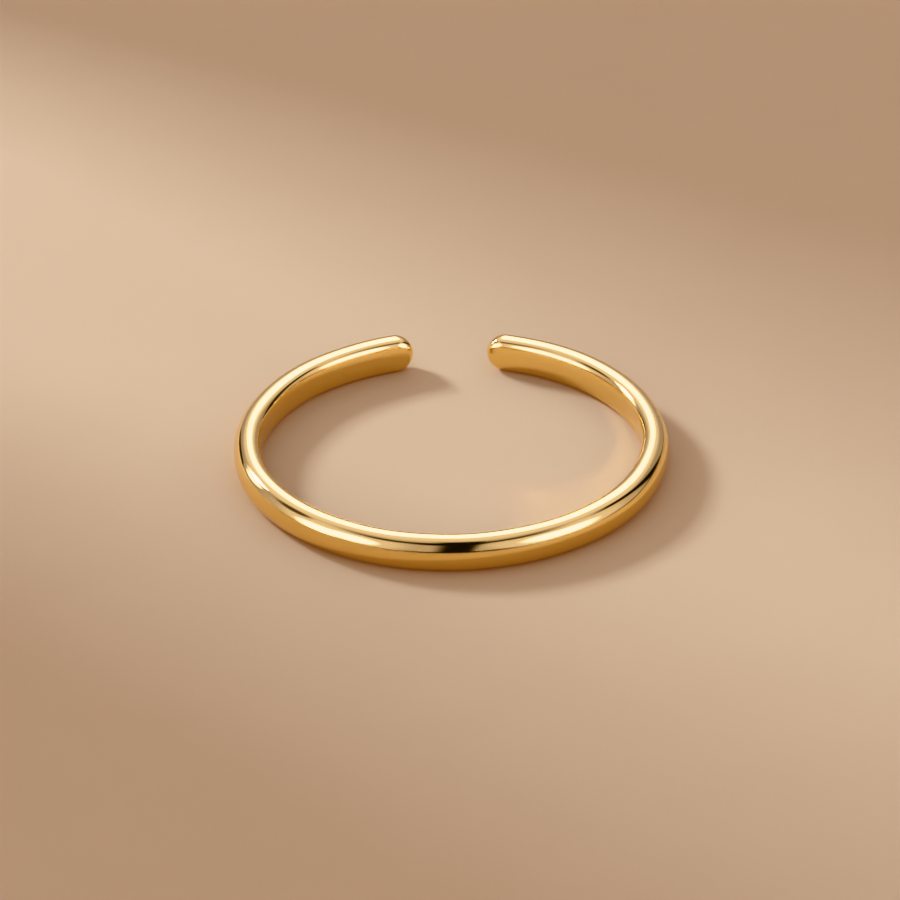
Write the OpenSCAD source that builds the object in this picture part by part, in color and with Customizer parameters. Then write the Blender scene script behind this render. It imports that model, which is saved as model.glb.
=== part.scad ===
// Open cuff ring for a finger, lying on its side.
// One polished band of half-round wire, bent almost closed, with a rounded tip at each side
// of a narrow gap. The bore runs along Z and the gap faces +Y. The origin is on the surface
// that the ring rests on, below the middle of its outline.

/* [Band] */
// Inside diameter, the size of the finger
bore_diameter = 17.5; // [15:0.1:22]
// Thickness of the band between the bore and the crown of the outer face
band_thickness = 1.25; // [1.2:0.05:1.6]
// Height of the band along the finger
band_height = 1.75; // [1.5:0.05:2]

/* [Rounding] */
// Radius that blends the domed outer face into the flat sides
outer_edge_radius = 0.4; // [0.3:0.05:0.5]
// Radius that softens the edges next to the finger
inner_edge_radius = 0.45; // [0.3:0.05:0.45]

/* [Hidden] */
$fn = 180;

// Radii from the axis of the bore
bore_radius = bore_diameter / 2;
crown_radius = bore_radius + band_thickness;
half_height = band_height / 2;

// The dome runs into the edge arcs where its normal points 3 outwards for 4 upwards
blend_out = 3 / 5;
blend_up = 4 / 5;

// Section of the band, across the wire, with its mid-plane at height zero
outer_edge_height = half_height - outer_edge_radius;
dome_radius = outer_edge_radius + outer_edge_height / blend_up;
dome_centre = crown_radius - dome_radius;
outer_edge_centre = dome_centre + outer_edge_height * blend_out / blend_up;
blend_reach = dome_centre + dome_radius * blend_out;
blend_height = dome_radius * blend_up;
inner_edge_height = half_height - inner_edge_radius;
inner_edge_centre = bore_radius + inner_edge_radius;

// Each tip is a half turn of the section about a radial line, at this angle from the gap's middle
tip_angle = 16.26;
// That line runs very nearly 7 across for 24 along, and this is the slope of 7 in 24
tip_slope = atan2(7, 24);

// The open side falls short of a full circle, so the middle of the outline is off the bore
tip_reach = dome_centre * cos(tip_angle) + dome_radius;
bore_axis_y = (crown_radius - tip_reach) / 2;

// Straight lines of the section, which its arcs then round
module section_core() {
    polygon([
        [bore_radius, -inner_edge_height],
        [inner_edge_centre, -half_height],
        [outer_edge_centre, -half_height],
        [blend_reach, -blend_height],
        [blend_reach, blend_height],
        [outer_edge_centre, half_height],
        [inner_edge_centre, half_height],
        [bore_radius, inner_edge_height]
    ]);
}

// Domed outer face, cut off where the edge arcs take over
module section_dome() {
    intersection() {
        translate([dome_centre, 0]) circle(r = dome_radius);
        translate([blend_reach, -blend_height]) square([dome_radius, 2 * blend_height]);
    }
}

// Whole section: flat against the finger, domed outside, soft at all four edges
module band_section() {
    union() {
        section_core();
        section_dome();
        for (side = [-1, 1]) {
            translate([outer_edge_centre, side * outer_edge_height]) circle(r = outer_edge_radius);
            translate([inner_edge_centre, side * inner_edge_height]) circle(r = inner_edge_radius);
        }
    }
}

// Upper half of the section, turned so that the radial line through the wire is the axis of turn
module tip_section() {
    intersection() {
        mirror([1, -1]) band_section();
        square([band_height, 2 * crown_radius]);
    }
}

// Rounded tip for a wire that starts on +X, turned away from the wire
module tip() {
    rotate([180, -90, 0]) rotate_extrude(angle = 180) tip_section();
}

// Wire bent round the finger, from one side of the gap to the other
module bent_wire() {
    rotate_extrude(start = 90 + tip_angle, angle = 360 - 2 * tip_angle) band_section();
}

module cuff_band() {
    color([0.85, 0.62, 0.28])
    translate([0, bore_axis_y, half_height])
    union() {
        bent_wire();
        for (side = [0, 1])
            mirror([side, 0, 0]) rotate(90) rotate(tip_slope) rotate(tip_angle - tip_slope) tip();
    }
}

cuff_band();
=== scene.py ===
"""Open cuff ring in polished yellow gold, lying on its side on a pale matte surface.

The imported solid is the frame. The band is drawn here as one fine surface around it, dressed
as buffed gold, and lit by a small soft studio from the photograph's viewing angle.
"""

import logging
import math
from dataclasses import dataclass, field
from enum import Enum

import bpy
import numpy as np
from mathutils import Matrix, Vector


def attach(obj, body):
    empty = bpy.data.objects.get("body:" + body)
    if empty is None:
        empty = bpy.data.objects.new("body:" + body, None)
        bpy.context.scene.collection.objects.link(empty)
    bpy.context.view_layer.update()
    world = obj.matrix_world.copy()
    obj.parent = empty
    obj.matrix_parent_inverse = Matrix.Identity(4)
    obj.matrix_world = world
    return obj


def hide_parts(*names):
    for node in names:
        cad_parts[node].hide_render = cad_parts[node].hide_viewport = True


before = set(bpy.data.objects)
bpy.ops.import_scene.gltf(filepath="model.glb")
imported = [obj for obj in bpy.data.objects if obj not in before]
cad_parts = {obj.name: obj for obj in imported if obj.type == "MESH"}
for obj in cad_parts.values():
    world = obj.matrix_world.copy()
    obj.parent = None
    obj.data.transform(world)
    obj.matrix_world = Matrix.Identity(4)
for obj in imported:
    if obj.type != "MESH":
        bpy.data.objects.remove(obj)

logging.basicConfig(level=logging.INFO, format="%(message)s")
log = logging.getLogger("cuff_ring")

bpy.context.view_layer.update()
MM = 0.001
UP = (0.0, 0.0, 1.0)
# Millimetres from the origin to the bore's axis, as the open side falls short of a full circle
BORE_AXIS_Y = 0.18012
# Millimetres from the bore's axis to the crown of the outer face
CROWN_RADIUS = 10.0


class Finish(Enum):
    """The surfaces in the scene, named for what they are."""

    GOLD = "buffed_yellow_gold"
    CARD = "matte_card_surface"


def linear(hex_colour: str) -> tuple[float, float, float, float]:
    """Turns an sRGB hex colour to linear light.

    A channel of up to 0.04045 is divided by 12.92. Above that it has 0.055 added, is divided
    by 1.055 and is raised to the power of 2.4.

    Args:
        hex_colour: six hex digits after a hash.

    Returns:
        Red, green, blue and an alpha of 1, as a shader socket takes them.
    """
    digits = hex_colour.lstrip("#")
    srgb = np.array([int(digits[i : i + 2], 16) for i in (0, 2, 4)]) / 255
    light = np.where(srgb <= 0.04045, srgb / 12.92, ((srgb + 0.055) / 1.055) ** 2.4)
    return (*light.tolist(), 1.0)


def add_node(
    tree: bpy.types.NodeTree,
    kind: str,
    links: dict | None = None,
    values: dict | None = None,
    **settings,
) -> bpy.types.Node:
    """Adds one node with its settings, socket values and incoming links.

    Args:
        tree: the node tree that gets the node.
        kind: Blender's name for the node's type.
        links: input socket to the output socket that feeds it.
        values: input socket to its own value.
        settings: the node's own properties.

    Returns:
        The new node.
    """
    node = tree.nodes.new(kind)
    for name, setting in settings.items():
        setattr(node, name, setting)
    for socket, value in (values or {}).items():
        node.inputs[socket].default_value = value
    for socket, source in (links or {}).items():
        tree.links.new(source, node.inputs[socket])
    return node


def new_material(name: str) -> tuple[bpy.types.Material, bpy.types.NodeTree]:
    """Makes an empty node material.

    Args:
        name: the material's name.

    Returns:
        The material and its cleared node tree.
    """
    material = bpy.data.materials.new(name)
    material.use_nodes = True
    material.node_tree.nodes.clear()
    return material, material.node_tree


def mesh_object(name: str, points: np.ndarray, faces: list, smooth: bool = True) -> bpy.types.Object:
    """Puts points and faces into a new object at the origin.

    Args:
        name: the object's name.
        points: one row of x, y, z per vertex, in metres.
        faces: vertex numbers of each face, in the order that points outwards.
        smooth: whether the faces are shaded as one smooth surface.

    Returns:
        The linked object.
    """
    mesh = bpy.data.meshes.new(name)
    mesh.from_pydata(points.tolist(), [], faces)
    mesh.polygons.foreach_set("use_smooth", np.full(len(mesh.polygons), smooth))
    mesh.update()
    piece = bpy.data.objects.new(name, mesh)
    bpy.context.scene.collection.objects.link(piece)
    return piece


def grid_quads(table: np.ndarray) -> np.ndarray:
    """Joins neighbours in a grid of vertex numbers.

    Args:
        table: vertex numbers, in rows and columns as the vertices lie on the surface.

    Returns:
        One row of four vertex numbers per quad.
    """
    corners = [table[:-1, :-1], table[:-1, 1:], table[1:, 1:], table[1:, :-1]]
    return np.stack(corners, axis=2).reshape(-1, 4)


@dataclass(frozen=True)
class BuffedGold:
    """Yellow gold of about 18 carats, drawn as wire, filed, and buffed on a cloth wheel.

    To the eye it is a warm mirror: clean reflections with a deep amber tone, a slight
    softness in faint clouds, and hair-fine buffing lines that run with the band. The wheel
    hardly reaches the face next to the finger, which stays satin.
    """

    base: str = "#F9D692"
    roughness: float = 0.055
    roughness_spread: float = 0.04
    cloud_mm: float = 2.4
    cloud_range: tuple[float, float] = (0.3, 0.7)
    satin: float = 0.17
    satin_range: tuple[float, float] = (-0.98, -0.86)
    # Real buffing lines are finer. These are about as wide as a pixel, so that they show
    buff_line_mm: float = 0.05
    buff_line_stretch: float = 60.0
    buff_line_depth_mm: float = 0.01
    buff_line_strength: float = 0.04

    def material(self) -> bpy.types.Material:
        """Builds the gold, whose patterns follow the level line from the bore's axis.

        Returns:
            The node material.
        """
        material, tree = new_material(Finish.GOLD.value)
        coordinates = add_node(tree, "ShaderNodeTexCoord").outputs
        axes = add_node(tree, "ShaderNodeSeparateXYZ", {"Vector": coordinates["Object"]}).outputs
        centred = add_node(
            tree, "ShaderNodeMath", {0: axes["Y"]}, {1: BORE_AXIS_Y * MM}, operation="SUBTRACT"
        ).outputs[0]
        spoke = add_node(tree, "ShaderNodeCombineXYZ", {"X": axes["X"], "Y": centred}).outputs[0]
        reach = add_node(tree, "ShaderNodeVectorMath", {0: spoke}, operation="LENGTH").outputs["Value"]
        turn = add_node(
            tree, "ShaderNodeMath", {0: axes["X"], 1: centred}, operation="ARCTAN2"
        ).outputs[0]
        polish = self.polish(tree, coordinates, spoke, reach)
        lines = self.buff_lines(tree, turn, reach, axes["Z"])
        shader = add_node(
            tree,
            "ShaderNodeBsdfPrincipled",
            {"Roughness": polish, "Normal": lines},
            {"Base Color": linear(self.base), "Metallic": 1.0},
        )
        add_node(tree, "ShaderNodeOutputMaterial", {"Surface": shader.outputs[0]})
        return material

    def polish(
        self,
        tree: bpy.types.NodeTree,
        coordinates: bpy.types.bpy_prop_collection,
        spoke: bpy.types.NodeSocket,
        reach: bpy.types.NodeSocket,
    ) -> bpy.types.NodeSocket:
        """Works out the roughness: faint clouds everywhere, and satin on the wall.

        How far a face looks towards the bore's axis is the dot product of its normal and the
        line from the axis, over that line's length: -1 on the wall and 0 on the top.

        Args:
            tree: the gold's node tree.
            coordinates: the outputs of its texture coordinates.
            spoke: the socket with the level line from the bore's axis.
            reach: the socket with that line's length.

        Returns:
            The socket with the roughness.
        """
        clouds = add_node(
            tree,
            "ShaderNodeTexNoise",
            {"Vector": coordinates["Object"]},
            {"Scale": 1 / (self.cloud_mm * MM), "Detail": 3.0, "Roughness": 0.55},
        ).outputs["Fac"]
        mirror = add_node(
            tree,
            "ShaderNodeMapRange",
            {"Value": clouds},
            {
                "From Min": self.cloud_range[0],
                "From Max": self.cloud_range[1],
                "To Min": self.roughness,
                "To Max": self.roughness + self.roughness_spread,
            },
        ).outputs["Result"]
        lean = add_node(
            tree,
            "ShaderNodeVectorMath",
            {0: coordinates["Normal"], 1: spoke},
            operation="DOT_PRODUCT",
        ).outputs["Value"]
        facing = add_node(tree, "ShaderNodeMath", {0: lean, 1: reach}, operation="DIVIDE").outputs[0]
        satin = add_node(
            tree,
            "ShaderNodeMapRange",
            {"Value": facing},
            {
                "From Min": self.satin_range[0],
                "From Max": self.satin_range[1],
                "To Min": self.satin,
                "To Max": 0.0,
            },
        ).outputs["Result"]
        return add_node(tree, "ShaderNodeMath", {0: mirror, 1: satin}, operation="MAXIMUM").outputs[0]

    def buff_lines(
        self,
        tree: bpy.types.NodeTree,
        turn: bpy.types.NodeSocket,
        reach: bpy.types.NodeSocket,
        height: bpy.types.NodeSocket,
    ) -> bpy.types.NodeSocket:
        """Draws the buffing lines: fine noise, stretched along the band.

        One radian round the band is as long as the crown's radius, and that length is divided
        by the stretch.

        Args:
            tree: the gold's node tree.
            turn: the socket with the angle round the bore's axis.
            reach: the socket with the distance from it.
            height: the socket with the height above the floor.

        Returns:
            The socket with the bumped normal.
        """
        along = add_node(
            tree,
            "ShaderNodeMath",
            {0: turn},
            {1: CROWN_RADIUS * MM / self.buff_line_stretch},
            operation="MULTIPLY",
        ).outputs[0]
        lines_at = add_node(
            tree, "ShaderNodeCombineXYZ", {"X": along, "Y": reach, "Z": height}
        ).outputs[0]
        lines = add_node(
            tree,
            "ShaderNodeTexNoise",
            {"Vector": lines_at},
            {"Scale": 1 / (self.buff_line_mm * MM), "Detail": 3.0, "Roughness": 0.6},
        ).outputs["Fac"]
        return add_node(
            tree,
            "ShaderNodeBump",
            {"Height": lines},
            {"Strength": self.buff_line_strength, "Distance": self.buff_line_depth_mm * MM},
        ).outputs["Normal"]


@dataclass(frozen=True)
class MatteCard:
    """Pale warm card with an even, lightly mottled matte surface, seen as a soft plain beige.

    A fine tooth, one and a half tenths of a millimetre across, keeps it from looking smooth.
    """

    pale: str = "#DFC9B3"
    deep: str = "#DBC5AF"
    roughness: float = 0.9
    specular_level: float = 0.2
    mottle_mm: float = 6.0
    tooth_mm: float = 0.15
    tooth_depth_mm: float = 0.02
    tooth_strength: float = 0.35

    def material(self) -> bpy.types.Material:
        """Builds the card.

        Returns:
            The node material.
        """
        material, tree = new_material(Finish.CARD.value)
        place = add_node(tree, "ShaderNodeTexCoord").outputs["Object"]
        mottle = add_node(
            tree,
            "ShaderNodeTexNoise",
            {"Vector": place},
            {"Scale": 1 / (self.mottle_mm * MM), "Detail": 4.0, "Roughness": 0.5},
        ).outputs["Fac"]
        tooth = add_node(
            tree,
            "ShaderNodeTexNoise",
            {"Vector": place},
            {"Scale": 1 / (self.tooth_mm * MM), "Detail": 2.0, "Roughness": 0.6},
        ).outputs["Fac"]
        tint = add_node(
            tree,
            "ShaderNodeMix",
            {"Factor": mottle},
            {"A": linear(self.deep), "B": linear(self.pale)},
            data_type="RGBA",
        )
        bump = add_node(
            tree,
            "ShaderNodeBump",
            {"Height": tooth},
            {"Strength": self.tooth_strength, "Distance": self.tooth_depth_mm * MM},
        ).outputs["Normal"]
        shader = add_node(
            tree,
            "ShaderNodeBsdfPrincipled",
            {"Base Color": tint.outputs["Result"], "Normal": bump},
            {"Roughness": self.roughness, "Specular IOR Level": self.specular_level},
        )
        add_node(tree, "ShaderNodeOutputMaterial", {"Surface": shader.outputs[0]})
        return material


@dataclass(frozen=True)
class Curve:
    """A stretch of the section, given by the radius of its curve wherever its slope is known.

    Slopes are the angles of the surface's normal in degrees: 0 on the inner wall, 90 on top
    and 180 at the crown. Radii are in millimetres. A level stretch at the top fades out over
    `level_fade` degrees on either side of it.
    """

    slopes: tuple[float, ...]
    radii: tuple[float, ...]
    level_fade: float = 14.0

    def trace(self, steps: int, level: np.ndarray) -> tuple[np.ndarray, np.ndarray]:
        """Walks along the curve in even steps of slope.

        Each step is as long as the radius times the change of slope. It goes outwards by the
        sine of the slope, and up or down by its cosine. A level stretch is worked in as extra
        radius, which is largest at the top.

        Args:
            steps: number of steps.
            level: width of the level stretch, one row per station, in millimetres.

        Returns:
            Distances outwards and upwards from the start, one row per station.
        """
        slope = np.linspace(self.slopes[0], self.slopes[-1], steps + 1)
        middle = (slope[1:] + slope[:-1]) / 2
        nearness = np.clip(1 - np.abs(middle - 90) / self.level_fade, 0, 1)
        turn = np.radians(slope[1] - slope[0])
        share = nearness / (nearness.sum() * turn)
        length = (np.interp(middle, self.slopes, self.radii) + level * share) * turn
        outward = np.cumsum(length * np.sin(np.radians(middle)), axis=1)
        upward = np.cumsum(length * np.cos(np.radians(middle)), axis=1)
        return np.pad(outward, ((0, 0), (1, 0))), np.pad(upward, ((0, 0), (1, 0)))


@dataclass
class CuffBand:
    """The band: half-round wire bent round the finger, with a rounded tip on each side of the gap.

    Sizes are in millimetres, and the tips' angle from the gap's middle is in degrees. The
    outer face is a dome, the inner wall is flat in its middle and leans away softly above and
    below it, and the wire is a little thicker towards the tips than opposite them, and a
    little fuller at both sides.
    """

    crown_radius: float = CROWN_RADIUS
    height: float = 1.72
    inner_side: Curve = Curve(
        (0, 11, 17, 30, 45, 65, 90), (2.3, 1.3, 0.45, 0.45, 0.36, 0.42, 0.5)
    )
    outer_side: Curve = Curve((90, 110, 130, 155, 180), (0.65, 0.56, 0.62, 1.04, 1.27))
    level_width: float = 0.095
    thickening: float = 0.05
    fuller_sides: float = 0.06
    tip_angle: float = 16.3
    stations: int = 480
    wall_steps: int = 4
    inner_steps: int = 36
    outer_steps: int = 34
    tip_steps: int = 44
    sway: float = 0.006
    sway_lengths: tuple[float, float] = (3.0, 9.0)
    sway_waves: int = 5
    sway_seed: int = 7
    gold: BuffedGold = field(default_factory=BuffedGold)

    def half_section(self, angle: np.ndarray) -> tuple[np.ndarray, np.ndarray]:
        """Upper half of the section, from the middle of the inner wall over the top to the crown.

        The wall rises straight, the inner side turns it level, and the outer side, scaled to
        end at mid-height, runs down to the crown. The level stretch between them grows with
        the sine of the angle, so that the band is thicker towards the gap, and with the square
        of its cosine, so that the band is fuller at its sides.

        Args:
            angle: directions of the stations in radians, from +X towards the gap, as a column.

        Returns:
            Radial distances and heights above the middle, one row per station.
        """
        half = self.height / 2
        level = (
            self.level_width
            + self.thickening * np.sin(angle)
            + self.fuller_sides * np.cos(angle) ** 2
        )
        inner_out, inner_up = self.inner_side.trace(self.inner_steps, level / 2)
        outer_out, outer_up = self.outer_side.trace(self.outer_steps, level / 2)
        fit = half / -outer_up[:, -1:]
        outer_out = outer_out * fit
        outer_up = outer_up * fit
        top = self.crown_radius - outer_out[:, -1:]
        inner = top - inner_out[:, -1:]
        foot = half - inner_up[:, -1:]
        wall = np.linspace(0, 1, self.wall_steps + 1)[:-1]
        radial = np.hstack([inner + 0 * wall, inner + inner_out, top + outer_out[:, 1:]])
        up = np.hstack([foot * wall, foot + inner_up, half + outer_up[:, 1:]])
        return radial, up

    def swayed(self, points: np.ndarray) -> np.ndarray:
        """Adds the faint unevenness of a band that was bent and buffed by hand.

        Each coordinate moves by a sum of a few slow waves across the band's own space. The
        underside keeps its height, so that it still lies flat.

        Args:
            points: x, y, z in millimetres, one row per vertex.

        Returns:
            The moved points.
        """
        dice = np.random.default_rng(self.sway_seed)
        heading = dice.normal(size=(3, self.sway_waves, 3))
        heading /= np.linalg.norm(heading, axis=2, keepdims=True)
        wave = 2 * math.pi / dice.uniform(*self.sway_lengths, size=(3, self.sway_waves))
        start = dice.uniform(0, 2 * math.pi, size=(3, self.sway_waves))
        phase = np.einsum("ni,aki->nak", points, heading) * wave + start
        move = self.sway * np.sin(phase).sum(axis=2)
        move[:, 2] *= points[:, 2] / self.height
        return points + move

    def build(self) -> bpy.types.Object:
        """Sweeps the section round the finger and closes both ends with a rounded tip.

        The swept part is a grid of stations by section points: each point is its radial
        distance times the cosine and sine of its station's angle, at its own height.

        Returns:
            The band as one closed mesh object.
        """
        tip = math.radians(self.tip_angle)
        angle = np.linspace(math.pi / 2 + tip, 2.5 * math.pi - tip, self.stations)[:, None]
        radial, up = self.half_section(angle)
        ring = np.hstack([radial, radial[:, -2:0:-1]])
        rise = np.hstack([up, -up[:, -2:0:-1]])
        body = np.stack([ring * np.cos(angle), ring * np.sin(angle), rise], axis=2)
        number = np.arange(ring.size).reshape(ring.shape)
        points = [body.reshape(-1, 3)]
        quads = [grid_quads(np.hstack([number, number[:, :1]]))]
        triangles = []
        for end, side in ((0, -1), (self.stations - 1, 1)):
            section = np.stack([radial[end], up[end]])
            first = sum(len(part) for part in points)
            cap, table = self.tip(angle[end, 0], side, section, number[end], first)
            points.append(cap)
            quads.append(grid_quads(table[1:-1].T))
            triangles.append(np.stack([table[0, :-1], table[1, :-1], table[1, 1:]], axis=1))
            triangles.append(np.stack([table[-1, 1:], table[-2, 1:], table[-2, :-1]], axis=1))
        placed = self.swayed(np.vstack(points) + [0, 0, self.height / 2]) + [0, BORE_AXIS_Y, 0]
        faces = np.vstack(quads).tolist() + np.vstack(triangles).tolist()
        return mesh_object("gold_band", placed * MM, faces)

    def tip(
        self, way: float, side: int, section: np.ndarray, rim: np.ndarray, first: int
    ) -> tuple[np.ndarray, np.ndarray]:
        """Turns the upper half of an end section half a turn about the radial line.

        A point at height h reaches h times the sine past the end, while its height is h times
        the cosine. The section's first and last points lie on the line and stay where they are.

        Args:
            way: direction of the end from the bore's axis, in radians.
            side: -1 for the end where the sweep starts and 1 for the end where it stops.
            section: radial distances and heights of the end section's upper half, in two rows.
            rim: vertex numbers of the whole end section.
            first: number of the tip's first new vertex.

        Returns:
            The new points, and the vertex numbers of the whole tip, with one row per section
            point and one column per step of the turn, in the order that faces outwards.
        """
        radial, up = section
        count = len(up)
        swing = np.linspace(0, math.pi, self.tip_steps + 1)[None, 1:-1, None]
        out = np.array([math.cos(way), math.sin(way), 0])
        onward = side * np.array([-math.sin(way), math.cos(way), 0])
        reach = radial[1:-1, None, None] * out
        lift = up[1:-1, None, None]
        cap = reach + lift * (np.sin(swing) * onward + np.cos(swing) * np.array(UP))
        table = np.empty((count, self.tip_steps + 1), dtype=int)
        table[:, 0] = rim[:count]
        table[:, -1] = rim[-np.arange(count)]
        table[0] = rim[0]
        table[-1] = rim[count - 1]
        table[1:-1, 1:-1] = first + np.arange(cap[..., 0].size).reshape(cap.shape[:2])
        return cap.reshape(-1, 3), table[:, ::side]

    def dress(self, piece: bpy.types.Object) -> None:
        """Gives the band its gold and its place in the frame.

        Args:
            piece: the band's object.
        """
        piece.data.materials.append(self.gold.material())
        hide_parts("cuff_band")
        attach(piece, "root")


def sky_direction(azimuth: float, elevation: float) -> tuple[float, float, float]:
    """Turns two angles to a direction.

    Args:
        azimuth: degrees from the camera's side, -Y, towards the right, +X.
        elevation: degrees above the floor.

    Returns:
        The unit direction: the sine of the azimuth along X and minus its cosine along Y, both
        times the cosine of the elevation, and the sine of the elevation along Z.
    """
    turn = math.radians(azimuth)
    rise = math.radians(elevation)
    return (
        math.sin(turn) * math.cos(rise),
        -math.cos(turn) * math.cos(rise),
        math.sin(rise),
    )


@dataclass(frozen=True)
class Patch:
    """One round patch of the room as the gold sees it: a softbox, its halo, a wall or a stand.

    Its middle is given as in sky_direction. It has its full level within `full` degrees of
    its middle and fades out at `faded` degrees.
    """

    level: float
    azimuth: float
    elevation: float
    full: float
    faded: float

    def cover(self, tree: bpy.types.NodeTree, way: bpy.types.NodeSocket) -> bpy.types.NodeSocket:
        """Works out how far the patch hides the layers below it.

        The dot product of the direction and the patch's middle is the cosine of the angle
        between them, and a smooth step takes it from 0 to 1.

        Args:
            tree: the world's node tree.
            way: the socket with the direction.

        Returns:
            The socket with the cover, from 0 to 1.
        """
        middle = sky_direction(self.azimuth, self.elevation)
        near = add_node(
            tree, "ShaderNodeVectorMath", {0: way}, {1: middle}, operation="DOT_PRODUCT"
        ).outputs["Value"]
        return add_node(
            tree,
            "ShaderNodeMapRange",
            {"Value": near},
            {
                "From Min": math.cos(math.radians(self.faded)),
                "From Max": math.cos(math.radians(self.full)),
            },
            interpolation_type="SMOOTHSTEP",
        ).outputs["Result"]


@dataclass(frozen=True)
class Streak(Patch):
    """A patch cut down to a streak: a dark gap, a seam, or the line where floor and room meet.

    The part of the direction along `across` stays within `half_width` of `offset`, and the
    streak fades from `softness` inside that edge to `softness` outside it.
    """

    across: tuple[float, float, float]
    offset: float
    half_width: float
    softness: float

    def cover(self, tree: bpy.types.NodeTree, way: bpy.types.NodeSocket) -> bpy.types.NodeSocket:
        """Works out the round patch's cover and multiplies it by the streak's own.

        Args:
            tree: the world's node tree.
            way: the socket with the direction.

        Returns:
            The socket with the cover, from 0 to 1.
        """
        spot = super().cover(tree, way)
        along = add_node(
            tree, "ShaderNodeVectorMath", {0: way}, {1: self.across}, operation="DOT_PRODUCT"
        ).outputs["Value"]
        off = add_node(
            tree, "ShaderNodeMath", {0: along}, {1: self.offset}, operation="SUBTRACT"
        ).outputs[0]
        width = add_node(tree, "ShaderNodeMath", {0: off}, operation="ABSOLUTE").outputs[0]
        streak = add_node(
            tree,
            "ShaderNodeMapRange",
            {"Value": width},
            {
                "From Min": self.half_width + self.softness,
                "From Max": self.half_width - self.softness,
            },
            interpolation_type="SMOOTHSTEP",
        ).outputs["Result"]
        return add_node(tree, "ShaderNodeMath", {0: spot, 1: streak}, operation="MULTIPLY").outputs[0]


# Each line gives level, azimuth, elevation, full and faded, and a streak goes on with across,
# offset, half_width and softness
ROOM = (
    # Low wall behind the ring, and the ceiling over it
    Patch(0.42, 180, 2, 58, 78),
    Patch(0.7, 180, 75.5, 40, 54),
    # Halo of the high softbox at the back
    Patch(0.95, 180, 60, 28, 48),
    # Halos of the softboxes in front, on the left and on the right
    Patch(0.86, -62, 20, 26, 42),
    Patch(0.86, 58, 20, 26, 42),
    # The softbox on the left, which is a little lower at its outer end
    Patch(10.0, -71, 11, 6, 17),
    Patch(10.0, -54, 18, 6, 17),
    # The softbox on the right
    Patch(10.0, 53, 20, 6, 17),
    Patch(10.0, 65, 18, 6, 16),
    # Dark gap between them, where the camera stands, and its wider foot
    Streak(0.01, 0, 15, 48, 58, (1.0, 0.0, -0.06), 0.0, 0.165, 0.06),
    Streak(0.01, 4, 1, 17, 34, UP, 0.03, 0.075, 0.045),
    # Dark seam above the softboxes in front, and its darker middle
    Streak(0.02, 0, 50, 28, 54, UP, 0.79, 0.065, 0.07),
    Streak(0.01, 0, 47, 9, 19, UP, 0.75, 0.08, 0.05),
    # Dark stands on the left, one high and one low
    Patch(0.12, -102, 36, 6, 13),
    Patch(0.03, -144, 1, 7, 13),
    # Dark wedge on the right, which leans forwards as it rises
    Streak(0.01, 118, 15, 28, 38, (-0.5576, 0.6411, 0.5275), 0.0, 0.115, 0.05),
    # Dark line where the room meets the floor, in front and on the right
    Streak(0.12, 0, 1, 30, 50, UP, 0.012, 0.03, 0.015),
    Streak(0.12, 118, 1, 30, 45, UP, 0.012, 0.03, 0.015),
    # Small lights at the back, on the left and in the middle
    Patch(9.0, -124, 16, 3, 9),
    Patch(8.0, 180, 36, 5, 11),
    # The high softbox at the back
    Patch(9.0, 178, 49, 10, 21),
)


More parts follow.
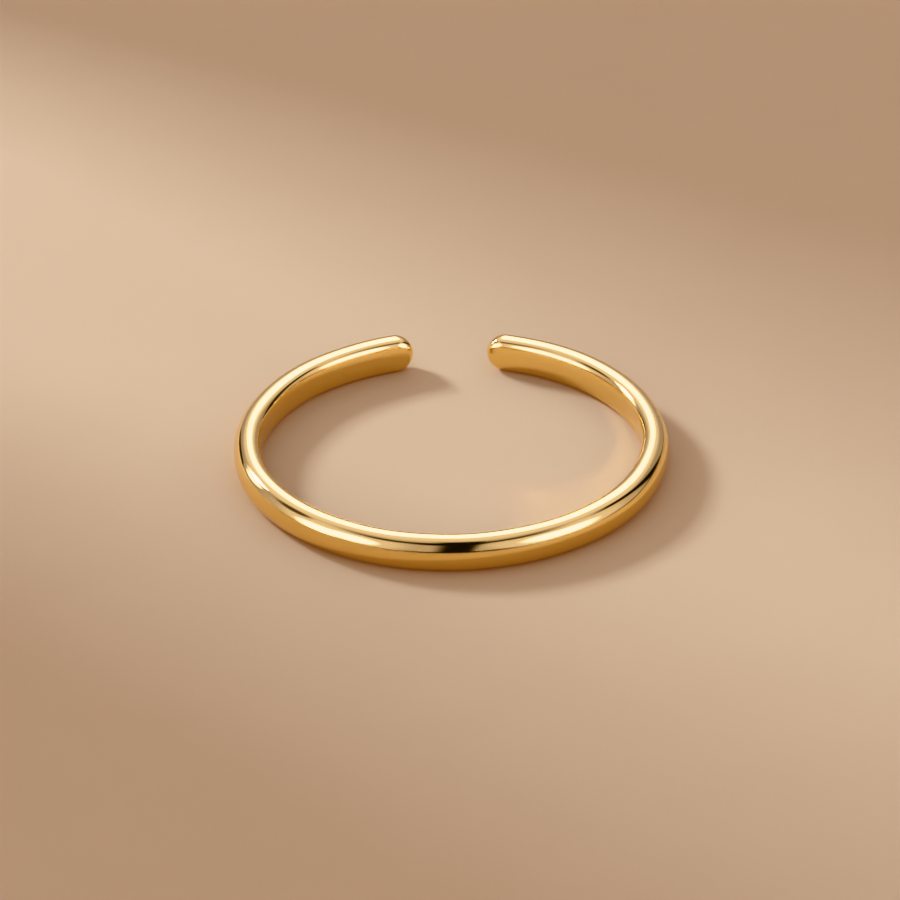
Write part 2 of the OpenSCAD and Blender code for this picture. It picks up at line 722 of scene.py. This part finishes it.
@dataclass(frozen=True)
class LightDome:
    """The studio round the ring, painted by direction from the back layer to the front one.

    Only mirrored light has the patches, because polished gold shows its room. Dim parts of
    the room are a little short of green and bright ones of red, which brings the gold's
    shades to amber and its highlights to cream. Matte surfaces are lit by one even ambient
    light instead. What they get of the room by way of the gold is the bounce, which is much
    less and so darkens the floor beside the band.
    """

    ambient: tuple[float, float, float] = (0.65, 0.53, 0.443)
    bounce: tuple[float, float, float] = (0.12, 0.05, 0.01)
    dim_tint: tuple[float, float, float] = (1.0, 0.91, 1.0)
    bright_tint: tuple[float, float, float] = (1.0, 1.2, 1.2)
    dim_level: float = 0.6
    bright_level: float = 4.0
    wall: float = 0.58
    patches: tuple[Patch, ...] = ROOM

    def build(self) -> bpy.types.World:
        """Makes the world.

        Returns:
            The scene's world.
        """
        world = bpy.data.worlds.new("soft_studio_room")
        world.use_nodes = True
        tree = world.node_tree
        tree.nodes.clear()
        seen = self.seen(tree)
        path = add_node(tree, "ShaderNodeLightPath").outputs
        first = add_node(
            tree, "ShaderNodeMath", {0: path["Diffuse Depth"]}, {1: 0.5}, operation="LESS_THAN"
        ).outputs[0]
        mirrored = add_node(
            tree, "ShaderNodeMath", {0: path["Is Glossy Ray"], 1: first}, operation="MULTIPLY"
        ).outputs[0]
        soft = add_node(
            tree,
            "ShaderNodeMix",
            {"Factor": path["Is Glossy Ray"]},
            {"A": (*self.ambient, 1.0), "B": (*self.bounce, 1.0)},
            data_type="RGBA",
        ).outputs["Result"]
        light = add_node(
            tree, "ShaderNodeMix", {"Factor": mirrored, "A": soft, "B": seen}, data_type="RGBA"
        ).outputs["Result"]
        glow = add_node(tree, "ShaderNodeBackground", {"Color": light})
        add_node(tree, "ShaderNodeOutputWorld", {"Surface": glow.outputs[0]})
        # The room differs by the kind of ray, so it can't be sampled as a lamp
        world.cycles.sampling_method = "NONE"
        bpy.context.scene.world = world
        return world

    def seen(self, tree: bpy.types.NodeTree) -> bpy.types.NodeSocket:
        """Paints the patches over the wall, one after the other, and tints the result.

        Args:
            tree: the world's node tree.

        Returns:
            The socket with the light that the gold sees in each direction.
        """
        way = add_node(tree, "ShaderNodeTexCoord").outputs["Generated"]
        level = add_node(tree, "ShaderNodeValue").outputs[0]
        level.default_value = self.wall
        for patch in self.patches:
            level = add_node(
                tree,
                "ShaderNodeMix",
                {"Factor": patch.cover(tree, way), "A": level},
                {"B": patch.level},
                data_type="FLOAT",
            ).outputs["Result"]
        bright = add_node(
            tree,
            "ShaderNodeMapRange",
            {"Value": level},
            {"From Min": self.dim_level, "From Max": self.bright_level},
        ).outputs["Result"]
        tint = add_node(
            tree,
            "ShaderNodeMix",
            {"Factor": bright},
            {"A": (*self.dim_tint, 1.0), "B": (*self.bright_tint, 1.0)},
            data_type="RGBA",
        ).outputs["Result"]
        return add_node(
            tree, "ShaderNodeVectorMath", {0: tint, "Scale": level}, operation="SCALE"
        ).outputs["Vector"]


@dataclass(frozen=True)
class KeyLight:
    """A small soft box, low behind the ring on the left, with a tall flag on each side of its beam.

    Sizes are in millimetres and angles in degrees, with the azimuth from +X towards +Y. The
    flags let the light fall across the floor in a soft band: the slot between them is twice
    `slot_half` wide, and its middle is `slot_centre` to the left of the way to the box.
    """

    azimuth: float = 141.0
    elevation: float = 28.6
    distance: float = 550.0
    width: float = 100.0
    watts: float = 2.38
    colour: str = "#F0FAFB"
    flag_distance: float = 90.0
    flag_width: float = 150.0
    flag_height: float = 150.0
    slot_centre: float = -1.85
    slot_half: float = 13.15
    card: MatteCard = field(default_factory=MatteCard)

    def build(self) -> None:
        """Hangs the box and stands the two flags."""
        self.box()
        self.flag("flag_left", -1)
        self.flag("flag_right", 1)

    def box(self) -> bpy.types.Object:
        """Hangs the soft box, which faces the ring and isn't seen by the camera itself.

        Returns:
            The light.
        """
        turn = math.radians(self.azimuth)
        rise = math.radians(self.elevation)
        way = Vector(
            (math.cos(rise) * math.cos(turn), math.cos(rise) * math.sin(turn), math.sin(rise))
        )
        lamp = bpy.data.lights.new("key", "AREA")
        lamp.shape = "SQUARE"
        lamp.size = self.width * MM
        lamp.energy = self.watts
        lamp.color = linear(self.colour)[:3]
        box = bpy.data.objects.new("key", lamp)
        box.location = way * self.distance * MM
        box.rotation_euler = way.to_track_quat("Z", "Y").to_euler()
        box.visible_camera = False
        bpy.context.scene.collection.objects.link(box)
        return box

    def flag(self, name: str, side: int) -> bpy.types.Object:
        """Stands one tall card beside the beam.

        The card is one upright square across the beam, with its near edge half the slot's
        width from the slot's middle. Only shadow rays meet it.

        Args:
            name: the card's name.
            side: -1 for the beam's left side and 1 for its right side, looking at the box.

        Returns:
            The card.
        """
        turn = math.radians(self.azimuth)
        toward = np.array([math.cos(turn), math.sin(turn), 0])
        aside = np.array([-toward[1], toward[0], 0])
        near = self.slot_centre - side * self.slot_half
        far = near - side * self.flag_width
        across, rise = np.meshgrid([near, far], [0.0, self.flag_height], indexing="ij")
        points = (
            toward * self.flag_distance
            + across[..., None] * aside
            + rise[..., None] * np.array(UP)
        ).reshape(-1, 3)
        piece = mesh_object(name, points * MM, [[0, 2, 3, 1]], smooth=False)
        piece.data.materials.append(self.card.material())
        piece.visible_camera = False
        piece.visible_diffuse = False
        piece.visible_glossy = False
        piece.visible_transmission = False
        return piece


@dataclass(frozen=True)
class PhotoCamera:
    """The camera, at the photograph's viewing angle.

    Sizes are in millimetres and angles in degrees. It looks at a point of the floor that is
    given from the bore's axis, and its focal length is in pixels of the photograph.
    """

    elevation: float = 30.085
    roll: float = -0.766
    distance: float = 400.0
    aim: tuple[float, float] = (-0.059, 1.314)
    focal_pixels: float = 8673.9
    photo_pixels: int = 900
    sensor: float = 36.0
    clip: tuple[float, float] = (50.0, 5000.0)

    def build(self) -> bpy.types.Object:
        """Places the camera and makes it the scene's own.

        Its back points away from the aim, up along the line of sight. Its right side and its
        top are square to that, turned by the roll.

        Returns:
            The scene's camera.
        """
        elevation = math.radians(self.elevation)
        roll = math.radians(self.roll)
        back = np.array([0, -math.cos(elevation), math.sin(elevation)])
        level = np.array([1.0, 0, 0])
        rise = np.cross(level, -back)
        right = math.cos(roll) * level + math.sin(roll) * rise
        up = math.cos(roll) * rise - math.sin(roll) * level
        aim = np.array([self.aim[0], self.aim[1] + BORE_AXIS_Y, 0])
        place = (aim + self.distance * back) * MM
        lens = bpy.data.cameras.new("photo_view")
        lens.sensor_width = self.sensor
        lens.lens = self.focal_pixels / self.photo_pixels * self.sensor
        lens.clip_start = self.clip[0] * MM
        lens.clip_end = self.clip[1] * MM
        view = bpy.data.objects.new("photo_view", lens)
        view.matrix_world = Matrix(
            [[right[i], up[i], back[i], place[i]] for i in range(3)] + [[0, 0, 0, 1]]
        )
        bpy.context.scene.collection.objects.link(view)
        bpy.context.scene.camera = view
        return view


@dataclass
class Studio:
    """Camera, room, key light and floor, and how the picture is shown."""

    floor_mm: float = 1600.0
    floor_lines: int = 9
    thrown_light_blur: float = 0.08
    camera: PhotoCamera = field(default_factory=PhotoCamera)
    dome: LightDome = field(default_factory=LightDome)
    key: KeyLight = field(default_factory=KeyLight)
    card: MatteCard = field(default_factory=MatteCard)

    def floor(self) -> bpy.types.Object:
        """Lays the pale surface that the ring rests on.

        Returns:
            The floor, a level square grid at height zero.
        """
        line = np.linspace(-self.floor_mm / 2, self.floor_mm / 2, self.floor_lines) * MM
        x, y = np.meshgrid(line, line, indexing="ij")
        points = np.stack([x, y, 0 * x], axis=2).reshape(-1, 3)
        table = np.arange(x.size).reshape(x.shape)
        piece = mesh_object("floor", points, grid_quads(table)[:, ::-1].tolist())
        piece.data.materials.append(self.card.material())
        return piece

    def tone(self) -> None:
        """Shows colours as they are and rolls bright gold off towards cream."""
        settings = bpy.context.scene.view_settings
        settings.view_transform = "Khronos PBR Neutral"
        settings.look = "None"
        settings.exposure = 0
        settings.gamma = 1

    def thrown_light(self) -> None:
        """Lowers the blur of thrown light from 1, which would wipe out the arc inside the ring."""
        bpy.context.scene.cycles.blur_glossy = self.thrown_light_blur


def main() -> None:
    """Builds the studio and the band."""
    studio = Studio()
    studio.camera.build()
    studio.tone()
    studio.thrown_light()
    log.info("camera: at the photograph's viewing angle")
    studio.dome.build()
    log.info("room: %d patches", len(studio.dome.patches))
    studio.key.build()
    log.info("key light: one soft box and two flags")
    studio.floor()
    log.info("floor: matte card, %d mm wide", studio.floor_mm)
    band = CuffBand()
    piece = band.build()
    band.dress(piece)
    log.info("gold band: %d faces", len(piece.data.polygons))


if __name__ == "__main__":
    main()
